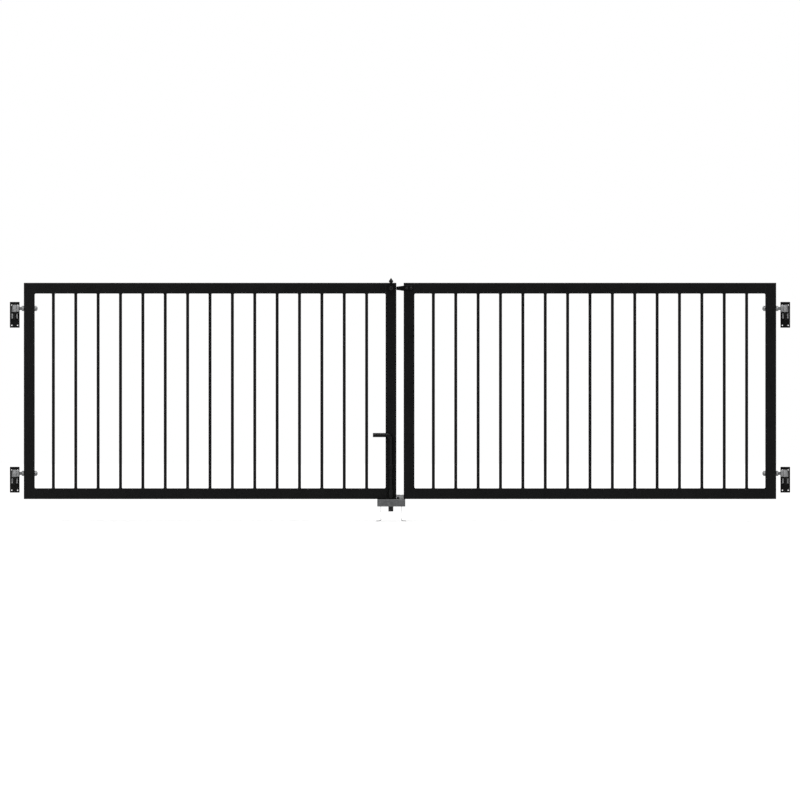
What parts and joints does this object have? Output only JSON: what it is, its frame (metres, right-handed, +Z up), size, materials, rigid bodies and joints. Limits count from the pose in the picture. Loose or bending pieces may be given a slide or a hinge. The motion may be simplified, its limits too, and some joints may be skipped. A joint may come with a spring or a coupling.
{
  "type": "double garden gate",
  "caption": "Low double swing gate of square steel tube with round infill bars, hung on adjustable eyebolt hinges, with an L-handled drop bolt, ground receiver and turn latch.",
  "frame": {"origin": "on the ground under the meeting line of the closed leaves, in the leaves' middle plane", "axes": "+X along the closed gate to the viewer's right, +Y away from the viewer, +Z up"},
  "size_m": [3.625, 0.1005, 1.1297],
  "materials": {
    "black_frame": "black powder coat, fine texture, satin",
    "black_hardware": "black powder coat, satin",
    "black_fastener": "black oxide, low sheen",
    "black_plastic": "matt black moulded plastic",
    "zinc_fastener": "galvanised, grey, fine grain",
    "galvanised_plate": "hot-dip galvanised plate, dull grey",
    "galvanised_tab": "galvanised plate, lighter grey",
    "bright_zinc": "bright zinc-plated strip"
  },
  "bodies": {
    "fixed_side": {"hinge_plate_left_upper": "black_hardware", "hinge_plate_left_lower": "black_hardware", "hinge_plate_right_upper": "black_hardware", "hinge_plate_right_lower": "black_hardware", "pintle_left_upper": "black_hardware", "pintle_left_lower": "black_hardware", "pintle_right_upper": "black_hardware", "pintle_right_lower": "black_hardware", "pintle_saddles": "zinc_fastener", "ground_receiver": "galvanised_plate", "stop_tab": "galvanised_tab", "stop_tab_bolt": "black_fastener", "stop_tab_nut": "zinc_fastener", "bolt_socket": "black_plastic", "anchor_left": "bright_zinc", "anchor_right": "bright_zinc"},
    "left_leaf": {"left_hinge_stile": "black_frame", "left_closing_stile": "black_frame", "left_top_rail": "black_frame", "left_bottom_rail": "black_frame", "left_bars": "black_frame", "left_hinge_cap_top": "black_plastic", "left_hinge_cap_bottom": "black_plastic", "left_closing_cap_top": "black_plastic", "left_closing_cap_bottom": "black_plastic", "left_eyebolt_upper": "zinc_fastener", "left_eyebolt_lower": "zinc_fastener", "left_hinge_nuts_upper": "zinc_fastener", "left_hinge_nuts_lower": "zinc_fastener", "bolt_guide_lower": "black_hardware", "bolt_guide_upper": "black_hardware", "guide_bush": "black_plastic", "latch_pivot_bolt": "black_fastener", "latch_spacer": "black_hardware", "latch_washers": "black_fastener", "latch_nut": "black_fastener"},
    "right_leaf": {"right_hinge_stile": "black_frame", "right_closing_stile": "black_frame", "right_top_rail": "black_frame", "right_bottom_rail": "black_frame", "right_bars": "black_frame", "right_hinge_cap_top": "black_plastic", "right_hinge_cap_bottom": "black_plastic", "right_closing_cap_top": "black_plastic", "right_closing_cap_bottom": "black_plastic", "right_eyebolt_upper": "zinc_fastener", "right_eyebolt_lower": "zinc_fastener", "right_hinge_nuts_upper": "zinc_fastener", "right_hinge_nuts_lower": "zinc_fastener", "latch_tongue": "black_hardware", "tongue_screws": "black_fastener", "tongue_washers": "black_fastener", "tongue_nuts": "black_fastener"},
    "drop_bolt": {"drop_rod": "black_hardware", "stop_collar": "black_hardware", "collar_screw": "black_fastener"},
    "latch": {"latch_lever": "black_hardware", "latch_knob": "black_hardware"}
  },
  "joints": [
    {"name": "left_leaf_swing", "type": "hinge", "parent": "fixed_side", "child": "left_leaf", "pos_m": [-1.79, 0, 0.5], "axis": [0, 0, -1], "range_deg": [0, 170]},
    {"name": "right_leaf_swing", "type": "hinge", "parent": "fixed_side", "child": "right_leaf", "pos_m": [1.79, 0, 0.5], "axis": [0, 0, 1], "range_deg": [0, 170]},
    {"name": "drop_bolt_slide", "type": "slide", "parent": "left_leaf", "child": "drop_bolt", "axis": [0, 0, 1], "range_m": [-0.055, 0.034]},
    {"name": "latch_turn", "type": "hinge", "parent": "left_leaf", "child": "latch", "pos_m": [-0.0415, -0.041, 1.0135], "axis": [0, 1, 0], "range_deg": [0, 90]}
  ]
}
